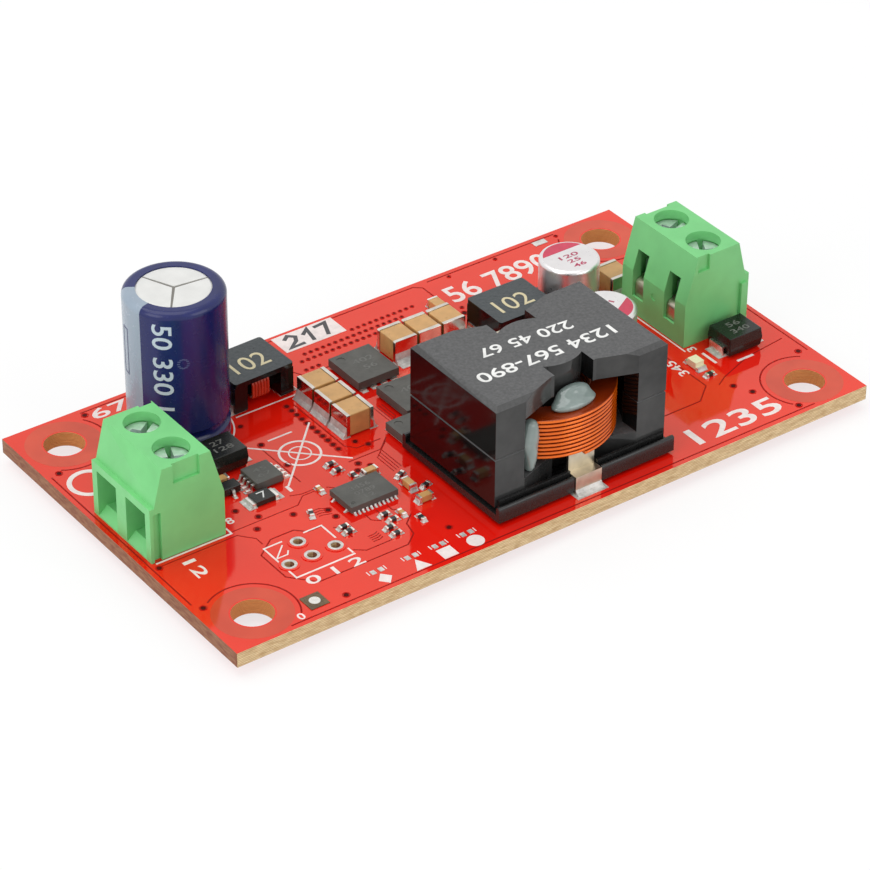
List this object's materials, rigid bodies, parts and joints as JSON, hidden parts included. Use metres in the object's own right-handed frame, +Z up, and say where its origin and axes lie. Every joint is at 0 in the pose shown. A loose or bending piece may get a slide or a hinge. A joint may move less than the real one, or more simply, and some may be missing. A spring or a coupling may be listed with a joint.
{
  "type": "buck converter module",
  "caption": "Step-down converter board with screw terminals at both ends, a blue bulk capacitor and an open flat-wire power inductor.",
  "frame": {"origin": "centre of the four mounting holes, on the underside of the board", "axes": "+X along the board from the input terminal to the output terminal, +Y across it from the power inductor to the bulk capacitor, +Z up out of the component side"},
  "size_m": [0.075, 0.0418, 0.0195],
  "materials": {
    "solder_mask": "gloss",
    "tinned_metal": "satin",
    "green_moulding": "satin",
    "plated_steel": "satin",
    "bare_aluminium": "satin",
    "blue_sleeve": "gloss",
    "rubber": "matte",
    "ferrite": "satin",
    "enamelled_copper": "gloss",
    "black_moulding": "satin",
    "adhesive": "gloss",
    "tan_ceramic": "satin",
    "clear_lens": "gloss"
  },
  "bodies": {
    "module": {"circuit_board": "solder_mask", "solder_pads": "tinned_metal", "solder_joints": "tinned_metal", "input_terminal_housing": "green_moulding", "input_terminal_contacts": "tinned_metal", "output_terminal_housing": "green_moulding", "output_terminal_contacts": "tinned_metal", "bulk_capacitor_can": "bare_aluminium", "bulk_capacitor_sleeve": "blue_sleeve", "bulk_capacitor_seal": "rubber", "bulk_capacitor_leads": "tinned_metal", "inductor_upper_core": "ferrite", "inductor_lower_core": "ferrite", "inductor_coil": "enamelled_copper", "inductor_base": "black_moulding", "inductor_terminals": "tinned_metal", "inductor_adhesive": "adhesive", "input_choke_core": "ferrite", "input_choke_plate": "ferrite", "input_choke_winding": "enamelled_copper", "output_choke_core": "ferrite", "output_choke_plate": "ferrite", "output_choke_winding": "enamelled_copper", "choke_terminals": "tinned_metal", "input_ceramics": "tan_ceramic", "output_ceramics": "tan_ceramic", "ceramic_capacitor_ends": "tinned_metal", "polymer_can_shells": "bare_aluminium", "polymer_can_bases": "black_moulding", "polymer_can_leads": "tinned_metal", "power_transistor_bodies": "black_moulding", "power_transistor_leads": "tinned_metal", "controller_body": "black_moulding", "controller_leads": "tinned_metal", "suppressor_body": "black_moulding", "suppressor_leads": "tinned_metal", "output_diode_body": "black_moulding", "output_diode_leads": "tinned_metal", "amplifier_body": "black_moulding", "amplifier_leads": "tinned_metal", "small_transistor_body": "black_moulding", "small_transistor_leads": "tinned_metal", "clamp_diode_body": "black_moulding", "clamp_diode_ends": "tinned_metal", "status_light_body": "clear_lens", "status_light_ends": "tinned_metal", "chip_resistor_bodies": "black_moulding", "chip_resistor_ends": "tinned_metal", "small_ceramic_bodies": "tan_ceramic", "small_ceramic_ends": "tinned_metal"},
    "input_screw_1": {"input_screw_1": "plated_steel"},
    "input_screw_2": {"input_screw_2": "plated_steel"},
    "input_cage_1": {"input_cage_1": "plated_steel"},
    "input_cage_2": {"input_cage_2": "plated_steel"},
    "output_screw_1": {"output_screw_1": "plated_steel"},
    "output_screw_2": {"output_screw_2": "plated_steel"},
    "output_cage_1": {"output_cage_1": "plated_steel"},
    "output_cage_2": {"output_cage_2": "plated_steel"}
  },
  "joints": [
    {"name": "input_screw_1_turn", "type": "hinge", "parent": "module", "child": "input_screw_1", "pos_m": [-0.0324, 0.00264, 0.0105], "axis": [0, 0, -1], "range_deg": [0, 1441]},
    {"name": "input_cage_1_rise", "type": "slide", "parent": "module", "child": "input_cage_1", "axis": [0, 0, 1], "range_m": [0, 0.002]},
    {"name": "input_screw_2_turn", "type": "hinge", "parent": "module", "child": "input_screw_2", "pos_m": [-0.0324, -0.00244, 0.0105], "axis": [0, 0, -1], "range_deg": [0, 1441]},
    {"name": "input_cage_2_rise", "type": "slide", "parent": "module", "child": "input_cage_2", "axis": [0, 0, 1], "range_m": [0, 0.002]},
    {"name": "output_screw_1_turn", "type": "hinge", "parent": "module", "child": "output_screw_1", "pos_m": [0.0309, 0.00264, 0.0105], "axis": [0, 0, -1], "range_deg": [0, 1441]},
    {"name": "output_cage_1_rise", "type": "slide", "parent": "module", "child": "output_cage_1", "axis": [0, 0, 1], "range_m": [0, 0.002]},
    {"name": "output_screw_2_turn", "type": "hinge", "parent": "module", "child": "output_screw_2", "pos_m": [0.0309, -0.00244, 0.0105], "axis": [0, 0, -1], "range_deg": [0, 1441]},
    {"name": "output_cage_2_rise", "type": "slide", "parent": "module", "child": "output_cage_2", "axis": [0, 0, 1], "range_m": [0, 0.002]}
  ],
  "couplings": [
    {"joint": "input_screw_1_turn", "follows": "input_cage_1_rise", "rad_per_m": 12566},
    {"joint": "input_screw_2_turn", "follows": "input_cage_2_rise", "rad_per_m": 12566},
    {"joint": "output_screw_1_turn", "follows": "output_cage_1_rise", "rad_per_m": 12566},
    {"joint": "output_screw_2_turn", "follows": "output_cage_2_rise", "rad_per_m": 12566}
  ]
}
